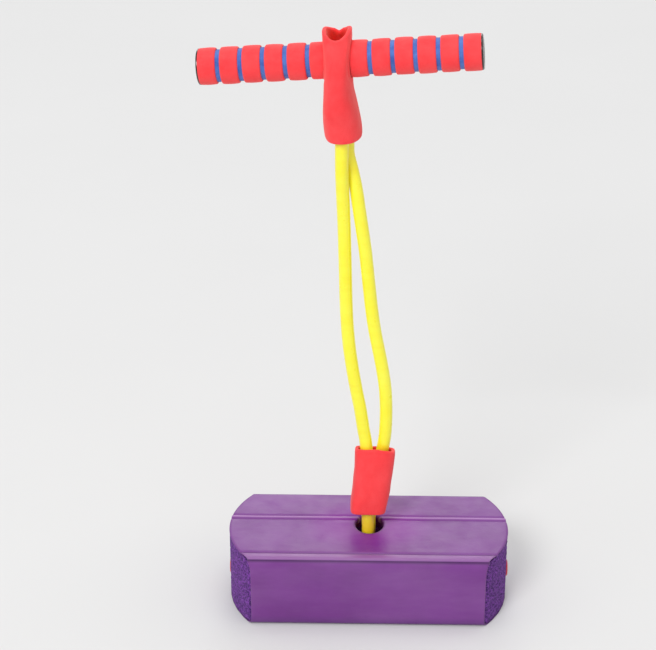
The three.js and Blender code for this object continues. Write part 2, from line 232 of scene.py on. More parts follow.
def smooth_path(points, per_span):
    """Centripetal Catmull-Rom line through given points, as three.js draws it."""
    pts = [Vector(p) for p in points]
    pts = [2 * pts[0] - pts[1], *pts, 2 * pts[-1] - pts[-2]]
    line = []
    for a, b, c, d in zip(pts, pts[1:], pts[2:], pts[3:]):
        ab = (b - a).length ** 0.5
        bc = (c - b).length ** 0.5
        cd = (d - c).length ** 0.5
        m1 = bc * ((b - a) / ab - (c - a) / (ab + bc) + (c - b) / bc)
        m2 = bc * ((c - b) / bc - (d - b) / (bc + cd) + (d - c) / cd)
        for i in range(per_span):
            t = i / per_span
            t2 = t * t
            t3 = t2 * t
            line.append(
                b * (2 * t3 - 3 * t2 + 1) + m1 * (t3 - 2 * t2 + t)
                + c * (3 * t2 - 2 * t3) + m2 * (t3 - t2)
            )
    line.append(pts[-2])
    return line


def tube(name, line, radius, material, sides=32, round_start=False):
    """A round tube along a line, with a flat or domed start and a flat end."""
    steps = 6

    def dome(point, direction):
        rings = []
        for i in range(1, steps + 1):
            angle = 0.5 * math.pi * i / steps
            rings.append((point + direction * (radius * math.sin(angle)), max(math.cos(angle), 1e-4)))
        return rings

    start_way = (line[0] - line[1]).normalized()
    end_way = (line[-1] - line[-2]).normalized()
    rings = []
    if round_start:
        rings += [(p, s, -start_way) for p, s in reversed(dome(line[0], start_way))]
    else:
        rings.append((line[0], 1e-4, -start_way))
    for i, point in enumerate(line):
        ahead = line[min(i + 1, len(line) - 1)] - line[max(i - 1, 0)]
        rings.append((point, 1.0, ahead.normalized()))
    rings.append((line[-1], 1e-4, end_way))
    across = rings[0][2].orthogonal().normalized()
    vertices = []
    for point, scale, ahead in rings:
        across = (across - ahead * across.dot(ahead)).normalized()
        up = ahead.cross(across)
        for i in range(sides):
            angle = 2 * math.pi * i / sides
            offset = across * math.cos(angle) + up * math.sin(angle)
            vertices.append(point + offset * (radius * scale))
    piece = make_object(name, vertices, loop_faces(len(rings), sides), material)
    tidy_mesh(piece, merge=5e-6)
    sharpen(piece, 50)
    return piece


# ---------------------------------------------------------------- materials
def srgb(red, green, blue):
    """Linear colour from 0-255 display values."""
    def linear(value):
        value /= 255
        return value / 12.92 if value <= 0.04045 else ((value + 0.055) / 1.055) ** 2.4
    return (linear(red), linear(green), linear(blue), 1.0)


class Shader:
    """A few short words for building a node material."""

    def __init__(self, name, roughness, **sockets):
        self.material = bpy.data.materials.new(name)
        self.material.use_nodes = True
        self.tree = self.material.node_tree
        self.tree.nodes.clear()
        self.output = self.tree.nodes.new("ShaderNodeOutputMaterial")
        self.surface = self.tree.nodes.new("ShaderNodeBsdfPrincipled")
        self.tree.links.new(self.surface.outputs["BSDF"], self.output.inputs["Surface"])
        self.surface.inputs["Roughness"].default_value = roughness
        for socket, value in sockets.items():
            self.surface.inputs[socket.replace("_", " ")].default_value = value
        self.where = self.tree.nodes.new("ShaderNodeTexCoord").outputs["Object"]
        self.height = None

    def link(self, output, socket):
        self.tree.links.new(output, socket)

    def noise(self, scale, detail=3.0, rough=0.55, stretch=None):
        node = self.tree.nodes.new("ShaderNodeTexNoise")
        node.inputs["Scale"].default_value = scale
        node.inputs["Detail"].default_value = detail
        node.inputs["Roughness"].default_value = rough
        self.link(self.stretched(stretch), node.inputs["Vector"])
        return node.outputs["Fac"]

    def cells(self, scale, stretch=None):
        node = self.tree.nodes.new("ShaderNodeTexVoronoi")
        node.inputs["Scale"].default_value = scale
        self.link(self.stretched(stretch), node.inputs["Vector"])
        return node.outputs["Distance"]

    def stretched(self, stretch):
        if stretch is None:
            return self.where
        node = self.tree.nodes.new("ShaderNodeMapping")
        node.inputs["Scale"].default_value = stretch
        self.link(self.where, node.inputs["Vector"])
        return node.outputs["Vector"]

    def ramp(self, value, low, high, dark=0.0, light=1.0):
        node = self.tree.nodes.new("ShaderNodeMapRange")
        node.inputs["From Min"].default_value = low
        node.inputs["From Max"].default_value = high
        node.inputs["To Min"].default_value = dark
        node.inputs["To Max"].default_value = light
        self.link(value, node.inputs["Value"])
        return node.outputs["Result"]

    def both(self, first, second):
        node = self.tree.nodes.new("ShaderNodeMath")
        node.operation = "MULTIPLY"
        self.link(first, node.inputs[0])
        self.link(second, node.inputs[1])
        return node.outputs["Value"]

    def near(self, value, middle, core, edge):
        """1 within core of the middle, fading to 0 at edge from it."""
        rise = self.ramp(value, middle - edge, middle - core)
        fall = self.ramp(value, middle + core, middle + edge, 1.0, 0.0)
        return self.both(rise, fall)

    def distance_from(self, centre, stretch=(1, 1, 1)):
        node = self.tree.nodes.new("ShaderNodeVectorMath")
        node.operation = "MULTIPLY"
        shift = self.tree.nodes.new("ShaderNodeVectorMath")
        shift.operation = "SUBTRACT"
        self.link(self.where, shift.inputs[0])
        shift.inputs[1].default_value = centre
        self.link(shift.outputs["Vector"], node.inputs[0])
        node.inputs[1].default_value = stretch
        length = self.tree.nodes.new("ShaderNodeVectorMath")
        length.operation = "LENGTH"
        self.link(node.outputs["Vector"], length.inputs[0])
        return length.outputs["Value"]

    def axis(self, letter):
        node = self.tree.nodes.new("ShaderNodeSeparateXYZ")
        self.link(self.where, node.inputs["Vector"])
        return node.outputs[letter]

    def mix(self, factor, first, second):
        node = self.tree.nodes.new("ShaderNodeMix")
        node.data_type = "RGBA"
        for value, socket in ((factor, 0), (first, 6), (second, 7)):
            if isinstance(value, (float, int, tuple)):
                node.inputs[socket].default_value = value
            else:
                self.link(value, node.inputs[socket])
        return node.outputs[2]

    def colour(self, value):
        if isinstance(value, tuple):
            self.surface.inputs["Base Color"].default_value = value
        else:
            self.link(value, self.surface.inputs["Base Color"])

    def rough(self, value):
        self.link(value, self.surface.inputs["Roughness"])

    def bump(self, value, distance, strength=1.0):
        node = self.tree.nodes.new("ShaderNodeBump")
        node.inputs["Distance"].default_value = distance
        node.inputs["Strength"].default_value = strength
        self.link(value, node.inputs["Height"])
        if self.height:
            self.link(self.height, node.inputs["Normal"])
        self.height = node.outputs["Normal"]
        self.link(self.height, self.surface.inputs["Normal"])


def paint_mouth_shade(s, base):
    """Painted shade: a magenta patch in front of the cord's mouth and a dark ring round its lip."""
    from_mouth = s.distance_from((0, MOUTH_Y - 0.003, BLOCK_TOP), (0.75, 1, 0.3))
    base = s.mix(s.ramp(from_mouth, 0.016, 0.050, 1.0, 0.0), base, srgb(128, 0, 146))
    from_lip = s.distance_from((MOUTH_X, MOUTH_Y, BLOCK_TOP), (1 / MOUTH_SQUASH, 1, 0.3))
    return s.mix(s.ramp(from_lip, 0.0155, 0.0195, 0.8, 0.0), base, srgb(60, 0, 84))


def paint_roll_light_and_shade(s, base):
    """Painted highlight and shade: a pale front roll, a dark crease behind it and a painted shadow line under
    it.
    """
    y = s.axis("Y")
    z = s.axis("Z")
    # Painted highlight along the front roll.
    roll = s.ramp(y, ROLL_CREASE_Y - 0.0022, ROLL_CREASE_Y - 0.0010, 0.45, 0.0)
    roll = s.both(roll, s.ramp(z, BLOCK_TOP - 0.0014, BLOCK_TOP - 0.0006))
    base = s.mix(roll, base, srgb(158, 112, 168))
    # Painted shade in the crease behind the roll.
    crease = s.near(y, ROLL_CREASE_Y, 0.0002, 0.0014)
    crease = s.both(crease, s.ramp(z, 0.070, 0.072, 0.0, 0.45))
    base = s.mix(crease, base, srgb(70, 24, 86))
    # Painted shadow line under the roll.
    rise = s.ramp(z, BLOCK_TOP - 0.0048, BLOCK_TOP - 0.0025, 0.0, 0.8)
    fall = s.ramp(z, BLOCK_TOP - 0.0018, BLOCK_TOP - 0.0010, 1.0, 0.0)
    front = s.ramp(y, ROLL_FRONT_Y - 0.0007, ROLL_FRONT_Y - 0.0002, 1.0, 0.0)
    return s.mix(s.both(s.both(rise, fall), front), base, srgb(60, 18, 78))


def paint_rib_highlight(s, base):
    """Painted highlight: a pale line along the top of the seam."""
    rib = s.near(s.axis("Y"), RIB_Y, 0.0008, 0.0018)
    rib = s.both(rib, s.ramp(s.axis("Z"), 0.070, 0.072, 0.0, 0.7))
    return s.mix(rib, base, srgb(176, 130, 188))


def foam_skin_material():
    """Heat-smoothed closed-cell foam: soft sheen, faint dimples and cloudy purple."""
    s = Shader("foam_skin", 0.42, Specular_IOR_Level=0.42, Sheen_Weight=0.06, Sheen_Roughness=0.4,
               Coat_Weight=0.12, Coat_Roughness=0.35)
    s.surface.inputs["Sheen Tint"].default_value = srgb(225, 205, 235)
    clouds = s.ramp(s.noise(18, 4), 0.35, 0.68)
    base = s.mix(clouds, srgb(108, 42, 126), srgb(118, 50, 138))
    # Painted shade round the cord's mouth.
    base = paint_mouth_shade(s, base)
    # Painted sheen: paler streaks stretched along the block.
    sheen_streaks = s.ramp(s.noise(13, 5, 0.6, (0.22, 1.4, 1.6)), 0.42, 0.72, 0.0, 0.5)
    base = s.mix(sheen_streaks, base, srgb(126, 62, 144))
    # Painted sheen: faint pale patches at random.
    sheen_patches = s.ramp(s.noise(26, 4, 0.6, (0.3, 1, 1)), 0.4, 0.7, 0.0, 0.09)
    # Painted highlight and shade along the front roll.
    base = paint_roll_light_and_shade(s, base)
    # Painted highlight along the seam.
    base = paint_rib_highlight(s, base)
    # Painted shade: darker towards the foot of the block.
    low = s.ramp(s.axis("Z"), 0.002, 0.011, 0.5, 0.0)
    base = s.mix(low, base, srgb(78, 40, 104))
    base = s.mix(sheen_patches, base, srgb(196, 160, 206))
    s.colour(base)
    s.rough(s.ramp(s.noise(60, 5), 0.3, 0.7, 0.34, 0.5))
    s.bump(s.noise(85, 4, 0.6), 0.0007, 0.35)
    s.bump(s.noise(900, 2, 0.5), 0.00012, 0.35)
    return s.material


def foam_cut_material():
    """Foam where a knife opened its cells: dark pits between torn, paler walls."""
    s = Shader("foam_cut", 0.88, Specular_IOR_Level=0.3, Sheen_Weight=0.2, Sheen_Roughness=0.5)
    s.surface.inputs["Sheen Tint"].default_value = srgb(190, 140, 220)
    coarse = s.ramp(s.noise(470, 3, 0.7), 0.42, 0.58)
    fine = s.ramp(s.cells(1100), 0.05, 0.6)
    patches = s.ramp(s.noise(70, 4, 0.65), 0.35, 0.7)
    base = s.mix(coarse, srgb(56, 18, 92), srgb(140, 72, 180))
    base = s.mix(s.ramp(fine, 0, 1, 0.55, 0.0), base, srgb(34, 10, 58))
    base = s.mix(s.ramp(patches, 0, 1, 0.0, 0.3), base, srgb(104, 44, 138))
    s.colour(base)
    s.bump(s.noise(240, 4, 0.65), 0.0008, 0.7)
    s.bump(coarse, 0.0006, 0.9)
    s.bump(fine, 0.0003, 0.7)
    return s.material


def red_foam_material(name, stretch=(1, 1, 1)):
    """Closed-cell foam tube: matt, fine grained, faintly mottled, paler where it has been rubbed."""
    s = Shader(name, 0.78, Specular_IOR_Level=0.3, Sheen_Weight=0.3, Sheen_Roughness=0.5,
               Subsurface_Weight=0.1, Subsurface_Scale=0.008)
    s.surface.inputs["Subsurface Radius"].default_value = (1.0, 0.25, 0.2)
    s.surface.inputs["Sheen Tint"].default_value = srgb(255, 190, 180)
    mottled = s.ramp(s.noise(70, 5, 0.6, stretch), 0.35, 0.68)
    base = s.mix(mottled, srgb(250, 58, 64), srgb(255, 72, 76))
    pores = s.ramp(s.cells(1500, stretch), 0.0, 0.35, 0.35, 0.0)
    base = s.mix(pores, base, srgb(216, 40, 48))
    worn = s.ramp(s.noise(22, 3, 0.5, stretch), 0.55, 0.8, 0.0, 0.35)
    base = s.mix(worn, base, srgb(255, 92, 90))
    s.colour(base)
    s.rough(s.ramp(s.noise(120, 4), 0.3, 0.7, 0.68, 0.86))
    s.bump(s.noise(160, 4, 0.6, stretch), 0.0004, 0.4)
    s.bump(s.cells(1500, stretch), 0.0002, 0.5)
    return s.material


def blue_foam_material():
    s = Shader("grip_blue", 0.82, Specular_IOR_Level=0.3, Sheen_Weight=0.25, Sheen_Roughness=0.5)
    mottled = s.ramp(s.noise(90, 5, 0.6), 0.35, 0.68)
    base = s.mix(mottled, srgb(56, 92, 172), srgb(82, 124, 202))
    pores = s.ramp(s.cells(1500), 0.0, 0.35, 0.4, 0.0)
    s.colour(s.mix(pores, base, srgb(46, 74, 146)))
    s.bump(s.noise(220, 4, 0.6), 0.0004, 0.5)
    s.bump(s.cells(1500), 0.0002, 0.5)
    return s.material


def latex_material():
    """Smooth stretched latex tube: waxy, a little translucent, with extrusion lines and dust; painted shade
    turns its foot orange under the lower sleeve.
    """
    s = Shader("latex", 0.32, Specular_IOR_Level=0.5, Subsurface_Weight=0.18, Subsurface_Scale=0.004,
               Coat_Weight=0.25, Coat_Roughness=0.22)
    s.surface.inputs["Subsurface Radius"].default_value = (1.0, 0.75, 0.15)
    cloud = s.ramp(s.noise(35, 4, 0.55), 0.35, 0.7)
    base = s.mix(cloud, srgb(255, 243, 40), srgb(255, 250, 70))
    bands = s.ramp(s.noise(60, 3, 0.5, (0.4, 0.4, 3.5)), 0.5, 0.8, 0.0, 0.4)
    base = s.mix(bands, base, srgb(252, 230, 36))
    # Painted shade: the cord's foot below the lower sleeve is tinted orange.
    base = s.mix(s.ramp(s.axis("Z"), 0.082, 0.112, 0.7, 0.0), base, srgb(255, 206, 30))
    s.colour(base)
    s.rough(s.ramp(s.noise(90, 4), 0.3, 0.7, 0.26, 0.42))
    s.bump(s.noise(420, 3, 0.6, (2.2, 2.2, 0.25)), 0.00012, 0.45)
    s.bump(s.noise(70, 3), 0.0004, 0.2)
    return s.material


def moulded_material(name, dark, light, roughness, coat=0.0):
    """Moulded plastic: even colour with a faint flow mark, sink and scuffs."""
    s = Shader(name, roughness, Specular_IOR_Level=0.5, Coat_Weight=coat, Coat_Roughness=0.12)
    s.colour(s.mix(s.ramp(s.noise(45, 4), 0.35, 0.7), dark, light))
    s.rough(s.ramp(s.noise(260, 5, 0.65, (1, 3, 1)), 0.4, 0.75, roughness, roughness + 0.16))
    s.bump(s.noise(500, 3), 0.00008, 0.4)
    return s.material


def steel_material():
    s = Shader("rod_steel", 0.34, Metallic=1.0)
    s.colour(s.mix(s.ramp(s.noise(30, 5), 0.4, 0.7), srgb(150, 152, 156), srgb(186, 188, 192)))
    s.rough(s.ramp(s.noise(300, 4, 0.6, (0.05, 1, 1)), 0.3, 0.7, 0.26, 0.48))
    s.bump(s.noise(900, 3, 0.6, (0.02, 1, 1)), 0.00005, 0.5)
    return s.material


def floor_material():
    s = Shader("floor", 0.9, Specular_IOR_Level=0.1)
    s.colour(s.mix(s.ramp(s.noise(3, 3), 0.3, 0.7), (0.685, 0.685, 0.685, 1), (0.695, 0.695, 0.695, 1)))
    return s.material


skin = foam_skin_material()
cut_foam = foam_cut_material()
sleeve_red = red_foam_material("sleeve_foam", (1, 1, 0.6))
grip_red = red_foam_material("grip_red")
grip_blue = blue_foam_material()
latex = latex_material()
plug_red = moulded_material("plug_red", srgb(196, 24, 44), srgb(214, 40, 58), 0.3, 0.3)
cap_black = moulded_material("cap_black", srgb(22, 12, 10), srgb(44, 26, 20), 0.2, 0.4)
white_plastic = moulded_material("white_plastic", srgb(218, 218, 212), srgb(232, 232, 228), 0.45)
binding_black = moulded_material("binding_black", srgb(18, 18, 20), srgb(34, 34, 38), 0.55)
steel = steel_material()

# ---------------------------------------------------------------- cords
STRAND_BOTTOM = 72
STRAND_TOP = 486
LEFT_STRAND = [
    (-0.6, -6.6, STRAND_BOTTOM), (-0.6, -6.6, 79), (-1.4, -6.6, 100), (-1.6, -5.8, 125), (-1.7, -2.8, 150),
    (-4.0, -0.3, 176), (-5.9, 0, 187), (-9.2, 0, 210), (-13.2, 0, 232), (-17, 0, 255), (-20, 0, 277),
    (-22, 0, 298), (-23.3, 0, 320), (-24, 0, 341), (-24.5, 0, 362), (-25.1, 0, 383), (-25.7, 0, 404),
    (-26.5, -0.8, 425), (-27.4, -2.8, 446), (-28, -5.4, 464), (-28.2, -6.8, 479), (-28.2, -6.8, STRAND_TOP),
]
RIGHT_STRAND = [
    (0.8, 6.6, STRAND_BOTTOM), (0.8, 6.6, 79), (2.2, 6.6, 100), (5.5, 5.8, 125), (10.5, 2.8, 150),
    (14.4, 0.3, 176), (15.4, 0, 187), (15.8, 0, 210), (14.8, 0, 232), (11.8, 0, 255), (7.8, 0, 277),
    (3.9, 0, 298), (0.8, 0, 320), (-1.5, 0, 341), (-3.7, 0, 362), (-5.9, 0, 383), (-8.8, 0, 404),
    (-11.9, 0.8, 425), (-15, 2.8, 446), (-19, 5.4, 464), (-22.6, 6.8, 479), (-22.9, 6.8, STRAND_TOP),
]


def strand_points(route):
    return [Vector((x * MM, CORD_Y + offset * MM, z * MM)) for x, offset, z in route]


def make_strands():
    for side, route in (("left", LEFT_STRAND), ("right", RIGHT_STRAND)):
        line = smooth_path(strand_points(route), 6)
        node = f"bungee_{side}_strand"
        piece = tube(f"latex_{side}_strand", line, CORD_RADIUS, latex, round_start=True)
        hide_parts(node)
        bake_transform(piece)


def loop_bend(radius, y, z, start, end, steps):
    return [Vector((0, y + dy, z + dz)) for dy, dz in arc(0, 0, radius, start, end, steps)]


def make_lower_loop():
    radius = 0.006 + 0.0004 + CORD_RADIUS
    top = (STRAND_BOTTOM - 0.3) * MM

    def leg(x, side):
        return [
            Vector((x, CORD_Y + side * 0.0066, top)),
            Vector((x, CORD_Y + side * 0.0066, top - 0.006)),
            Vector((x / 2, CORD_Y + side * 0.0094, 0.048)),
        ]

    points = [*leg(-0.0006, -1), *loop_bend(radius, CORD_Y, ROD_Z, 180, 360, 8), *reversed(leg(0.0008, 1))]
    piece = tube("latex_lower_loop", smooth_path(points, 5), CORD_RADIUS, latex)
    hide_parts("bungee_lower_loop")
    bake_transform(piece)


def make_risers():
    for side, route, hand in ((-1, LEFT_STRAND, "left"), (1, RIGHT_STRAND, "right")):
        x, offset, _ = route[-1]
        y = CORD_Y + offset * MM
        points = [
            Vector((x * MM, y, (STRAND_TOP + 0.3) * MM)),
            Vector((x * MM, y, (STRAND_TOP + 6) * MM)),
            YOKE_FRAME @ Vector((0, side * 0.0086, -0.062)),
            YOKE_FRAME @ Vector((0, side * 0.0126, -0.048)),
            YOKE_FRAME @ Vector((0, side * LOOP_RADIUS, -0.036)),
            YOKE_FRAME @ Vector((0, side * LOOP_RADIUS, -0.0303)),
        ]
        piece = tube(f"latex_{hand}_riser", smooth_path(points, 8), CORD_RADIUS, latex, round_start=True)
        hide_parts(f"bungee_{hand}_riser")
        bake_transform(piece)


def press_on_bar(vertex):
    """Flattens the cord against the bar where it bears on the top of it."""
    seat = BAR_RADIUS + 0.0004
    x, y, z = vertex.co
    away = math.hypot(y, z)
    bearing = max(0.0, min(1.0, z / LOOP_RADIUS + 0.25))
    thin = 1 - 0.42 * bearing
    scale = (seat + (away - seat) * thin) / away
    vertex.co = (x * (1 + 0.18 * bearing), y * scale, z * scale)


def make_upper_loop():
    def leg(side):
        return [Vector((0, side * LOOP_RADIUS, -0.030)), Vector((0, side * LOOP_RADIUS, -0.015))]

    points = [*leg(-1), *loop_bend(LOOP_RADIUS, 0, 0, 180, 0, 8), *reversed(leg(1))]
    piece = tube("latex_upper_loop", smooth_path(points, 5), CORD_RADIUS, latex)
    for vertex in piece.data.vertices:
        press_on_bar(vertex)
    piece.data.transform(YOKE_FRAME)
    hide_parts("bungee_upper_loop")
    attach(piece, "yoke")


# ---------------------------------------------------------------- foam block
END_CENTRE = BLOCK_LENGTH / 2 - BLOCK_END_RADIUS
PATCH = 0.036


def end_x(y):
    """How far the block reaches along X at a given distance from its middle line."""
    return END_CENTRE + math.sqrt(BLOCK_END_RADIUS ** 2 - y * y)


def rib_height(y):
    """The raised seam, with a crease along each side of it."""
    d = abs(y - RIB_Y)
    rib = 0.0011 * math.exp(-((d / 0.0015) ** 2))
    crease = 0.0009 * math.exp(-(((d - 0.0031) / 0.0012) ** 2))
    return rib - crease


def top_height(x, y):
    height = BLOCK_TOP + rib_height(y)
    crease = 0.0012 * math.exp(-(((y - ROLL_CREASE_Y) / 0.0013) ** 2))
    roll = 0.0008 * math.exp(-(((y - ROLL_MIDDLE_Y) / 0.0040) ** 4))
    r = math.hypot((x - MOUTH_X) / MOUTH_SQUASH, y - MOUTH_Y)
    t = max(0.0, 1 - r / DIMPLE_RADIUS)
    dimple = 0.0012 * t * t * t
    soft = 0.0004 * noise.noise(Vector((x * 22, y * 22, 3.1)))
    return height - crease + roll - dimple + soft


def spaced(start, end, step):
    count = max(1, round(abs(end - start) / step))
    return [start + (end - start) * i / count for i in range(count + 1)]


def top_stations():
    """Distances across the top, close together where the seam and the creases are."""
    front = ROLL_FRONT_Y
    patch_front = MOUTH_Y - PATCH
    patch_back = MOUTH_Y + PATCH
    back = BLOCK_HALF_DEPTH - BLOCK_EDGE
    stations = spaced(front, patch_front, 0.0009)[:-1]
    stations += spaced(patch_front, RIB_Y - 0.008, 0.0022)[:-1]
    stations += spaced(RIB_Y - 0.008, RIB_Y + 0.008, 0.0007)[:-1]
    stations += spaced(RIB_Y + 0.008, patch_back, 0.002)[:-1]
    stations += spaced(patch_back, back, 0.003)
    return stations


# Over the roll's front, past the crease under it and out to the flat face:
# (behind the face, above the top).
ROLL_EDGE = [
    (0.0044, 0.00048), (0.0038, 0.0002), (0.0034, -0.0003), (0.0032, -0.0009), (0.0034, -0.0015),
    (0.0037, -0.0021), (0.0036, -0.0028), (0.0031, -0.0037), (0.0024, -0.0050), (0.0016, -0.0068),
    (0.0009, -0.0095), (0.0004, -0.0130), (0.0001, -0.0170),
]


def block_section():
    """The skin's section as (y, z), going up the back, over to the front, down and under."""
    half = BLOCK_HALF_DEPTH
    stations = top_stations()
    section = [(y, None) for y in reversed(stations)]
    section += [(-half + inward, BLOCK_TOP + rise) for inward, rise in ROLL_EDGE]
    section += [(-half, z) for z in spaced(0.056, 0.012, 0.006)]
    section += arc(-half + BLOCK_EDGE, BLOCK_EDGE, BLOCK_EDGE, 180, 270, 6)
    section += [(y, 0.0) for y in spaced(-0.050, 0.050, 0.012)]
    section += arc(half - BLOCK_EDGE, BLOCK_EDGE, BLOCK_EDGE, 270, 360, 6)
    section += [(half, z) for z in spaced(0.012, 0.065, 0.006)]
    section += arc(half - BLOCK_EDGE, BLOCK_TOP - BLOCK_EDGE, BLOCK_EDGE, 0, 90, 6)[:-1]
    return section


def foam_wave(x, y, z):
    """The slight unevenness of a soft block's sides."""
    return 0.00035 * noise.noise(Vector((x * 16, y * 30, z * 26)))


def block_columns():
    """Lengthwise stations: (share of the way out past the patch, x inside the patch, edge rounding)."""
    outer = [(1.0, 0.0010), (0.9985, 0.0005), (0.996, 0.0002), (0.992, 0.0)]
    outer += [(s, 0.0) for s in spaced(0.97, 0.0, 0.07)]
    left = [(-share, None, inset) for share, inset in outer]
    middle = [(None, x, 0.0) for x in spaced(-PATCH, PATCH, 0.0018)]
    right = [(-share, x, inset) for share, x, inset in reversed(left)]
    return left[:-1] + middle + right[1:]


def make_block_skin():
    section = block_section()
    columns = block_columns()
    count = len(section)
    patch_front = MOUTH_Y - PATCH - 1e-6
    patch_back = MOUTH_Y + PATCH + 1e-6
    vertices = []
    for share, middle_x, inset in columns:
        for y, z in section:
            if middle_x is None:
                x = math.copysign(PATCH + (end_x(y) - PATCH) * abs(share), share)
            else:
                x = middle_x
            on_top = z is None
            height = top_height(x, y) if on_top else z
            wave = 0.0 if on_top or height < 0.001 else foam_wave(x, y, height)
            away = wave * min(1, height / 0.012)
            yy = y + math.copysign(away, y) if not on_top else y
            toward_y = 1 - inset / BLOCK_HALF_DEPTH
            toward_z = 1 - inset / (BLOCK_TOP / 2)
            middle = BLOCK_TOP / 2
            vertices.append((x, yy * toward_y, middle + (height - middle) * toward_z))
    in_patch = [z is None and patch_front < y < patch_back for y, z in section]
    faces = []
    for c in range(len(columns) - 1):
        inside = columns[c][1] is not None and columns[c + 1][1] is not None
        for k in range(count):
            n = (k + 1) % count
            if inside and in_patch[k] and in_patch[n]:
                continue
            faces.append((c * count + k, c * count + n, (c + 1) * count + n, (c + 1) * count + k))
    add_mouth_patch(vertices, faces)
    piece = make_object("purple_foam_skin", vertices, faces, skin)
    tidy_mesh(piece, merge=2e-5)
    solidify = piece.modifiers.new("thickness", "SOLIDIFY")
    solidify.thickness = SKIN
    solidify.offset = -1
    solidify.use_rim = True
    apply_modifiers(piece)
    sharpen(piece, 48)
    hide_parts("foam_wrap")
    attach(piece, "base")


def mouth_rings():
    """The cord mouth's lip, from the top down into the well: (radius, drop below the flat top)."""
    rings = []
    for i in range(1, 8):
        angle = 0.5 * math.pi * i / 7
        out = MOUTH_LIP * (1 - math.sin(angle))
        rings.append((MOUTH_RADIUS + out, MOUTH_LIP * (1 - math.cos(angle))))
    for out, drop in ((0.0004, 0.006), (0.0018, 0.009), (0.0034, 0.013)):
        rings.append((MOUTH_RADIUS + out, drop))
    return rings


def add_mouth_patch(vertices, faces):
    """The square round the mouth: rays from its border in to the lip."""
    ys = [y for y in top_stations() if abs(y - MOUTH_Y) < PATCH + 1e-6]
    xs = spaced(-PATCH, PATCH, 0.0018)
    border = [(PATCH, y) for y in ys[:-1]]
    border += [(x, ys[-1]) for x in reversed(xs[1:])]
    border += [(-PATCH, y) for y in reversed(ys[1:])]
    border += [(x, ys[0]) for x in xs[:-1]]
    lip = mouth_rings()
    steps = 18
    start = len(vertices)
    lip_radius = MOUTH_RADIUS + MOUTH_LIP
    for ring in range(steps + 1 + len(lip)):
        for x, y in border:
            wide = (x - MOUTH_X) / MOUTH_SQUASH
            away = math.hypot(wide, y - MOUTH_Y)
            ux = MOUTH_SQUASH * wide / away
            uy = (y - MOUTH_Y) / away
            if ring <= steps:
                share = ring / (steps + 0.4)
                r = away + (lip_radius - away) * share
                px = MOUTH_X + ux * r
                py = MOUTH_Y + uy * r
                vertices.append((px, py, top_height(px, py)))
            else:
                r, drop = lip[ring - steps - 1]
                px = MOUTH_X + ux * r
                py = MOUTH_Y + uy * r
                edge = top_height(MOUTH_X + ux * lip_radius, MOUTH_Y + uy * lip_radius)
                vertices.append((px, py, edge - drop))
    around = len(border)
    for ring in range(steps + len(lip)):
        for i in range(around):
            j = (i + 1) % around
            a = start + ring * around
            b = a + around
            faces.append((a + i, a + j, b + j, b + i))


def rounded_corner(y, z, half, low, high, radius):
    """Pulls a point of the square section in to the rounded corner."""
    cy = max(-half + radius, min(half - radius, y))
    cz = max(low + radius, min(high - radius, z))
    away = math.hypot(y - cy, z - cz)
    if away <= radius:
        return y, z
    return cy + (y - cy) * radius / away, cz + (z - cz) * radius / away


def make_block_core():
    """The foam itself: both curved end faces are torn open into cells."""
    half = BLOCK_HALF_DEPTH - SKIN - 0.0002
    low = SKIN + 0.0002
    high = BLOCK_TOP - SKIN - 0.0002
    across = spaced(-half, half, 0.0011)
    upward = spaced(low, high, 0.0011)
    wide = len(across)
    tall = len(upward)
    vertices = []
    for side in (-1, 1):
        for z in upward:
            for y in across:
                at_roll = y < 0 and z > BLOCK_TOP / 2
                yy, zz = rounded_corner(y, z, half, low, high, 0.0075 if at_roll else 0.003)
                edge = min(half - abs(yy), zz - low, high - zz)
                rough = min(1.0, max(0.0, edge / 0.002))
                where = Vector((side * 4 + yy * 330, zz * 330, side * 2.7))
                pit = 0.0009 * noise.noise(where) + 0.0006 * noise.noise(where * 0.22)
                x = end_x(yy) - 0.0006 + rough * min(pit, 0.0004)
                vertices.append((side * x, yy, zz))
    faces = []
    for side in range(2):
        base = side * wide * tall
        for row in range(tall - 1):
            for col in range(wide - 1):
                a = base + row * wide + col
                quad = (a, a + 1, a + wide + 1, a + wide)
                faces.append(quad if side else quad[::-1])
    rim = list(range(wide))
    rim += [r * wide + wide - 1 for r in range(1, tall)]
    rim += [(tall - 1) * wide + c for c in range(wide - 2, -1, -1)]
    rim += [r * wide for r in range(tall - 2, 0, -1)]
    shift = wide * tall
    for a, b in zip(rim, rim[1:] + rim[:1]):
        faces.append((a, b, b + shift, a + shift))
    piece = make_object("purple_foam_core", vertices, faces, cut_foam)
    tidy_mesh(piece, merge=2e-5)
    upright = Matrix.Translation((0, CORD_Y, 0)) @ Matrix.Rotation(math.radians(-90), 4, "Y")
    cut_with(piece, cylinder("well", WELL_FLOOR, 0.1, WELL_RADIUS, upright))
    along = Matrix.Translation((0, CORD_Y, ROD_Z))
    cut_with(piece, cylinder("bore", -PAST_BLOCK, PAST_BLOCK, ROD_BORE, along, 32))
    for side in (-1, 1):
        start, end = sorted((side * SEAT_START, side * PAST_BLOCK))
        cut_with(piece, cylinder("seat", start, end, SEAT_RADIUS, along, 48))
    under = Matrix.Translation((SQUEAKER_X, 0, 0)) @ upright
    cut_with(piece, cylinder("pocket", -0.01, POCKET_HEIGHT, POCKET_RADIUS, under))
    tidy_mesh(piece, merge=AFTER_CUT, close=True)
    sharpen(piece, 60)
    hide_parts("foam_core")
    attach(piece, "base")


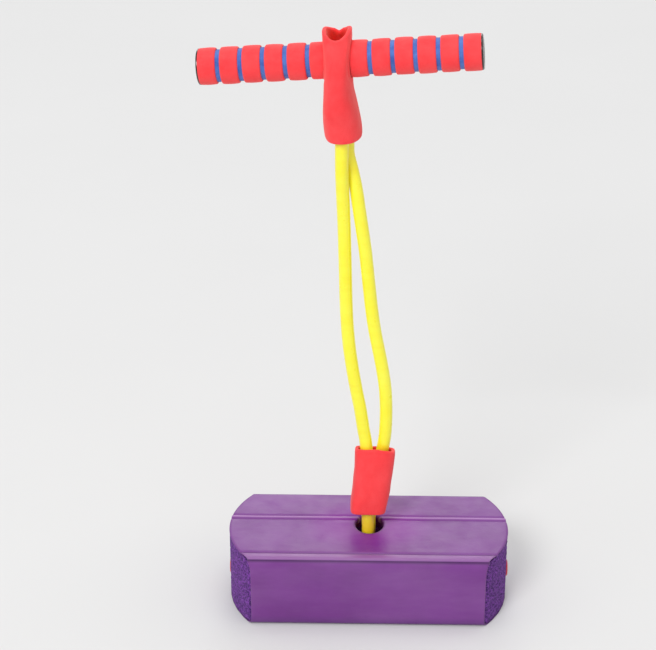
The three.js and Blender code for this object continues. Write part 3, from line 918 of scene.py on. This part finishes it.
def make_rod_plugs():
    """Red plugs that close the anchor rod's bore: a low dome with a shallow dish in its middle."""
    tip = PLUG_START - SPIGOT_LENGTH
    for side, hand, proud in ((-1, "left", 0.0005), (1, "right", 0.0015)):
        face = BLOCK_LENGTH / 2 + proud
        profile = [(tip, 0), (tip, SPIGOT_RADIUS - 0.0005), (tip + 0.001, SPIGOT_RADIUS)]
        profile += [(PLUG_START, SPIGOT_RADIUS), (PLUG_START, PLUG_RADIUS)]
        profile += reversed(arc(face - PLUG_ROUND, PLUG_RADIUS - PLUG_ROUND, PLUG_ROUND, 0, 90, 7))
        profile += [(face - 0.0001, 0.0056), (face - 0.0007, 0.0048)]
        profile += [(face - 0.0009, 0.003), (face - 0.0009, 0)]
        place = Matrix.Translation((0, CORD_Y, ROD_Z))
        if side < 0:
            place = place @ Matrix.Rotation(math.pi, 4, "Z")
        piece = turned(f"red_rod_plug_{hand}", profile, plug_red, place)
        sharpen(piece, 50)
        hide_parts(f"rod_plug_{hand}")
        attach(piece, "base")


# ---------------------------------------------------------------- foam sleeves
def between(rings, share):
    """Smooth values between given rings, share 0 to 1 from hem to rim."""
    spans = len(rings) - 1
    at = min(share * spans, spans - 1e-9)
    i = int(at)
    t = at - i
    p = [rings[max(0, min(spans, i + k))] for k in (-1, 0, 1, 2)]
    return [
        0.5 * (2 * b + (c - a) * t + (2 * a - 5 * b + 4 * c - d) * t * t + (3 * b - a - 3 * c + d) * t ** 3)
        for a, b, c, d in zip(*p)
    ]


def sleeve_point(ring, inset, angle):
    """Ring values are z, x, half width, half depth, boxiness, slant and dip, in millimetres."""
    z, x, half_width, half_depth, boxy, slant, dip = ring
    c = math.cos(angle)
    s = math.sin(angle)
    power = 2 / boxy
    px = x + (half_width - inset) * math.copysign(abs(c) ** power, c)
    py = (half_depth - inset) * math.copysign(abs(s) ** power, s)
    pz = z + slant * s - dip * s * s
    return Vector((px, py, pz))


def make_sleeve(name, rings, wall, place, relief, rim=None, rows=90, sides=128):
    """A foam tube with rounded hem and rim; relief(angle, z, inset) moves its walls out, in mm."""
    start = rings[0][0]
    height = rings[-1][0] - start
    half = wall / 2
    path = []
    for i in range(rows + 1):
        path.append((half + (height - wall) * i / rows, 0.0, 0.0))
    for i in range(1, 12):
        angle = math.pi * i / 12
        path.append((height - half, half * (1 - math.cos(angle)), half * math.sin(angle)))
    for i in range(rows, -1, -2):
        path.append((half + (height - wall) * i / rows, wall, 0.0))
    for i in range(1, 12):
        angle = math.pi * i / 12
        path.append((half, wall - half * (1 - math.cos(angle)), -half * math.sin(angle)))
    heights = [ring[0] for ring in rings]
    vertices = []
    for along, inset, lift in path:
        z = start + along
        share = np.interp(z, heights, np.linspace(0, 1, len(rings)))
        ring = between(rings, float(share))
        ring[0] = z + lift
        for i in range(sides):
            angle = 2 * math.pi * i / sides
            extra = relief(angle, z, inset)
            point = sleeve_point(ring, inset - extra, angle)
            if rim:
                point.z += rim(angle) * share ** 6
            vertices.append(place @ (point * MM))
    faces = loop_faces(len(path), sides, closed_rows=True)
    piece = make_object(name, vertices, faces, sleeve_red)
    tidy_mesh(piece)
    return piece


# Hem to rim, in the yoke's frame: z, x, half width, half depth, boxiness, slant, dip.
UPPER_RINGS = [
    (-75, -0.6, 16.2, 19.2, 2.1, 0, 0), (-71.5, -0.7, 17.2, 20, 2.1, 0, 0),
    (-64, -0.9, 17.3, 20.8, 2.3, 0, 0), (-54, -1.4, 16.3, 22.8, 2.8, 0, 0),
    (-43, -2.1, 14.9, 25.6, 3, 0, 0), (-30, -2.4, 13.2, 27.2, 3, 0, 0), (-14, -1.5, 12.6, 27.8, 3, 0, 0),
    (2, -0.6, 12.7, 27.6, 3, 0, 0), (14, -0.2, 12.9, 25.5, 2.8, 0, 2),
    (27.5, 0, 13.4, 20.5, 2.2, -1.5, 6.5), (29.5, 0, 13.4, 19.9, 2.2, -1.5, 6.5),
]
# Hem to rim, in the frame's axes with Y from the cord's plane.
LOWER_RINGS = [
    (97.4, -0.8, 17.4, 19, 4.6, -2.2, 0), (100, -0.6, 17.7, 19.2, 4.6, -2, 0), (107, 0.3, 18.1, 19, 4, -1, 0),
    (118, 2, 18.8, 18.2, 3, 0, 0), (130, 3.1, 19, 16.8, 2.8, 0, 0), (142, 4.3, 19.3, 15, 2.8, 0, 0),
    (154, 5.1, 19.6, 13.6, 2.8, -2, 0), (163, 5.4, 19.8, 12.4, 3, -4, 0),
    (166, 5.4, 19.2, 12.4, 3, -4.3, 0),
]


def make_upper_sleeve():
    hole = SLEEVE_HOLE / MM

    def relief(angle, z, inset):
        y = 26 * math.sin(angle)
        away = math.hypot(y, z) - hole
        lip = 0.7 * math.exp(-((away / 1.6) ** 2)) if abs(math.cos(angle)) > 0.3 else 0.0
        inward = -lip if inset < UPPER_WALL / MM / 2 else 0.0
        where = Vector((math.cos(angle) * 1.4, math.sin(angle) * 1.4, z / 26))
        soft = 0.3 * noise.noise(where * 1.6)
        return inward + soft

    def rim(angle):
        """The far side of the rim stands a little higher, with a nick in its middle."""
        if math.sin(angle) < 0:
            return 0.0
        nick = max(0.0, 1 - abs(math.cos(angle)) / 0.3)
        return 2.2 * math.sin(angle) - 3.6 * nick

    piece = make_sleeve("red_upper_sleeve", UPPER_RINGS, UPPER_WALL / MM, YOKE_FRAME, relief, rim)
    profile = [(-0.04, 0), (-0.04, SLEEVE_HOLE), (0.04, SLEEVE_HOLE), (0.04, 0)]
    drill = turned("drill", profile, None, BAR_FRAME, 96)
    cut_with(piece, drill)
    tidy_mesh(piece, merge=AFTER_CUT, close=True)
    sharpen(piece, 55)
    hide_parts("upper_sleeve")
    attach(piece, "yoke")


def make_lower_sleeve():
    def relief(angle, z, inset):
        where = Vector((math.cos(angle) * 1.4, math.sin(angle) * 1.4, z / 24))
        soft = 0.3 * noise.noise(where * 1.7) if inset < 1 else 0.0
        # The front wall closes in between the strands.
        up = max(0.0, min(1.0, (z - 138) / 24))
        depth = 0.5 if inset < 1 else 1.5
        at_back = math.sin(angle) > 0
        valley = 0.0 if at_back else depth * up * up * math.exp(-((math.cos(angle) / 0.22) ** 2))
        return soft - valley

    def rim(angle):
        return -1.8 * math.cos(angle)

    place = Matrix.Translation((0, CORD_Y, 0))
    piece = make_sleeve("red_lower_sleeve", LOWER_RINGS, LOWER_WALL / MM, place, relief, rim)
    sharpen(piece, 60)
    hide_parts("lower_sleeve")
    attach(piece, "collar")


# ---------------------------------------------------------------- handlebar
def span_along_bar(node):
    """A node's start and end along the bar, and its outer radius, read from the frame."""
    points = [v.co - YOKE_ORIGIN for v in frame["nodes"][node].data.vertices]
    along = [p.dot(BAR_AXIS) for p in points]
    away = [(p - BAR_AXIS * p.dot(BAR_AXIS)).length for p in points]
    return min(along), max(along), max(away), min(away)


def foam_turned(name, profile, material, seed, amount):
    """A turned foam piece, pushed about a little so that it isn't perfectly round."""
    piece = turned(name, profile, material, Matrix.Identity(4), 96)
    for vertex in piece.data.vertices:
        p = vertex.co
        away = Vector((0, p.y, p.z))
        if away.length < 1e-6:
            continue
        soft = noise.noise(Vector((p.x * 60 + seed, p.y * 60, p.z * 60)))
        vertex.co += away.normalized() * soft * amount
    piece.data.transform(BAR_FRAME)
    piece.data.update()
    return piece


def ring_profile(start, end, outer, inner):
    """A band with soft, slightly crowned face and rounded shoulders."""
    shoulder = 0.0017
    crown = 0.00025
    profile = [(start, inner)]
    profile += [(start, outer - shoulder - 0.0002)]
    rounded = []
    for i in range(1, 9):
        angle = 0.5 * math.pi * i / 8
        height = outer - shoulder + shoulder * math.sin(angle) - crown
        rounded.append((shoulder * (1 - math.cos(angle)), height))
    profile += [(start + x, height) for x, height in rounded]
    width = end - start - 2 * shoulder
    for i in range(1, 12):
        t = i / 12
        profile.append((start + shoulder + width * t, outer - crown * (2 * t - 1) ** 2))
    profile += [(end - x, height) for x, height in reversed(rounded)]
    profile += [(end, outer - shoulder - 0.0002), (end, inner)]
    return profile


def make_grips():
    for hand in ("left", "right"):
        start, end, outer, inner = span_along_bar(f"{hand}_grip_liner")
        profile = [(start, inner)] + [(x, outer) for x in spaced(start, end, 0.002)] + [(end, inner)]
        liner = foam_turned(f"blue_{hand}_grip", profile, grip_blue, 3.0, 0.0002)
        sharpen(liner, 50)
        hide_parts(f"{hand}_grip_liner")
        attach(liner, "handlebar")
        for i in range(6):
            node = f"{hand}_grip_ring_{i + 1}"
            start, end, outer, inner = span_along_bar(node)
            profile = ring_profile(start, end, outer, inner)
            band = foam_turned(f"red_{hand}_band_{i + 1}", profile, grip_red, 10.0 * i, 0.00035)
            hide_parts(node)
            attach(band, "handlebar")


def make_end_caps():
    for hand, sign in (("left", -1), ("right", 1)):
        node = f"{hand}_end_cap"
        first, last, outer, _ = span_along_bar(node)
        face = (last if sign > 0 else -first) - 0.0010
        inside = first if sign > 0 else -last
        flange = face - 0.0009
        spigot = BAR_RADIUS - 0.0021
        profile = [(inside, 0), (inside, spigot - 0.0008), (inside + 0.0012, spigot)]
        profile += [(flange, spigot), (flange, outer)]
        profile += reversed(arc(face - CAP_ROUND, outer - CAP_ROUND, CAP_ROUND, 0, 90, 8))
        profile += [(face - 0.0002, outer - 0.0035), (face - 0.0007, outer - 0.0048)]
        profile += [(face - 0.0007, 0.0035), (face - 0.0003, 0.002), (face - 0.0003, 0)]
        turn = Matrix.Identity(4) if sign > 0 else Matrix.Rotation(math.pi, 4, "Z")
        piece = turned(f"dark_{hand}_cap", profile, cap_black, BAR_FRAME @ turn, 96)
        sharpen(piece, 40)
        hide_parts(node)
        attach(piece, "handlebar")


# ---------------------------------------------------------------- carried-over CAD nodes
def finish_cad_nodes():
    looks = {
        "anchor_rod": steel,
        "squeaker_shell": white_plastic,
        "squeaker_reed": white_plastic,
        "cord_binding": binding_black,
        "handle_tube": white_plastic,
    }
    for node, material in looks.items():
        mesh = frame["nodes"][node].data
        mesh.materials.clear()
        mesh.materials.append(material)


# ---------------------------------------------------------------- floor and light
def add_floor():
    sides = 96
    radius = 6.0
    vertices = [(0, 0, 0)] + [
        (radius * math.cos(2 * math.pi * i / sides), radius * math.sin(2 * math.pi * i / sides), 0)
        for i in range(sides)
    ]
    faces = [(0, 1 + i, 1 + (i + 1) % sides) for i in range(sides)]
    floor = make_object("floor", vertices, faces, floor_material())
    floor.location.z = -0.0002


def add_light(name, position, size, energy, target=(0, 0, 0.25)):
    data = bpy.data.lights.new(name, "AREA")
    data.shape = "DISK"
    data.size = size
    data.energy = energy
    light = bpy.data.objects.new(name, data)
    light.location = position
    way = Vector(target) - Vector(position)
    light.rotation_euler = way.to_track_quat("-Z", "Y").to_euler()
    bpy.context.scene.collection.objects.link(light)


def add_studio():
    world = bpy.data.worlds.new("studio")
    world.use_nodes = True
    background = world.node_tree.nodes["Background"]
    background.inputs["Color"].default_value = (1, 1, 1, 1)
    background.inputs["Strength"].default_value = 0.65
    bpy.context.scene.world = world
    add_light("front", (-2.6, -5.0, 5.4), 3.0, 280)
    add_light("top", (0.6, 0.8, 7.0), 4.0, 110)
    add_light("behind", (0.0, 6.0, 3.4), 3.4, 70, (0, 0, 0.07))
    bpy.context.scene.view_settings.view_transform = "Standard"


add_camera()
make_strands()
make_lower_loop()
make_risers()
make_upper_loop()
make_block_skin()
make_block_core()
make_rod_plugs()
make_upper_sleeve()
make_lower_sleeve()
make_grips()
make_end_caps()
finish_cad_nodes()
add_floor()
add_studio()
